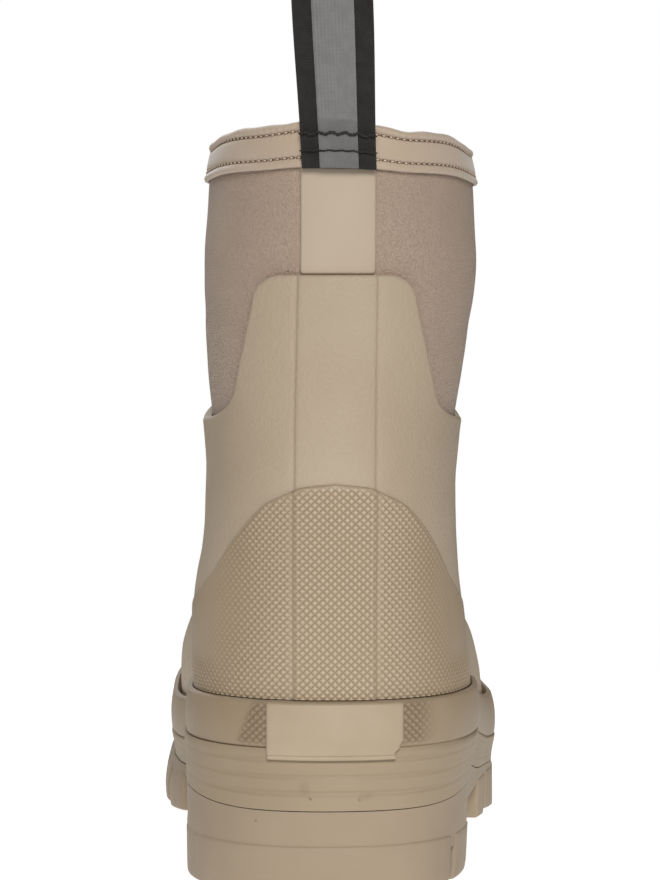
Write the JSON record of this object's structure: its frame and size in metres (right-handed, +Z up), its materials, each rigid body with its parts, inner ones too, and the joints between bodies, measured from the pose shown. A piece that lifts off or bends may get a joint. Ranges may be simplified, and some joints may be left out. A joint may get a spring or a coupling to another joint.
{
  "type": "rubber boot",
  "caption": "Pull-on rubber boot with a neoprene shaft, moulded rubber upper with a tall back tab, knurled heel patch, webbing pull loop and a thick lugged sole",
  "frame": {"origin": "on the floor, under the middle of the boot's box", "axes": "+X to the outer side of the foot, +Y from heel to toe, +Z up"},
  "size_m": [0.1188, 0.3026, 0.2903],
  "materials": {
    "sole_rubber": "matt moulded rubber with fine scuffs",
    "upper_rubber": "matt rubber with a fine grain",
    "knurled_rubber": "rubber moulded with small diamonds",
    "neoprene": "fine knit laminated on neoprene",
    "binding_tape": "smooth satin stretch tape, stitched",
    "black_webbing": "woven polyester webbing",
    "reflective_tape": "grey reflective ribbon",
    "footbed_foam": "brushed cloth on foam"
  },
  "bodies": {
    "root": {"outsole": "sole_rubber", "midsole": "sole_rubber", "rand": "sole_rubber", "upper": "upper_rubber", "heel_patch": "knurled_rubber", "heel_plate": "upper_rubber", "shaft": "neoprene", "back_stay": "upper_rubber", "collar_binding": "binding_tape", "pull_loop": "black_webbing", "reflective_strip": "reflective_tape", "insole": "footbed_foam"}
  },
  "joints": []
}
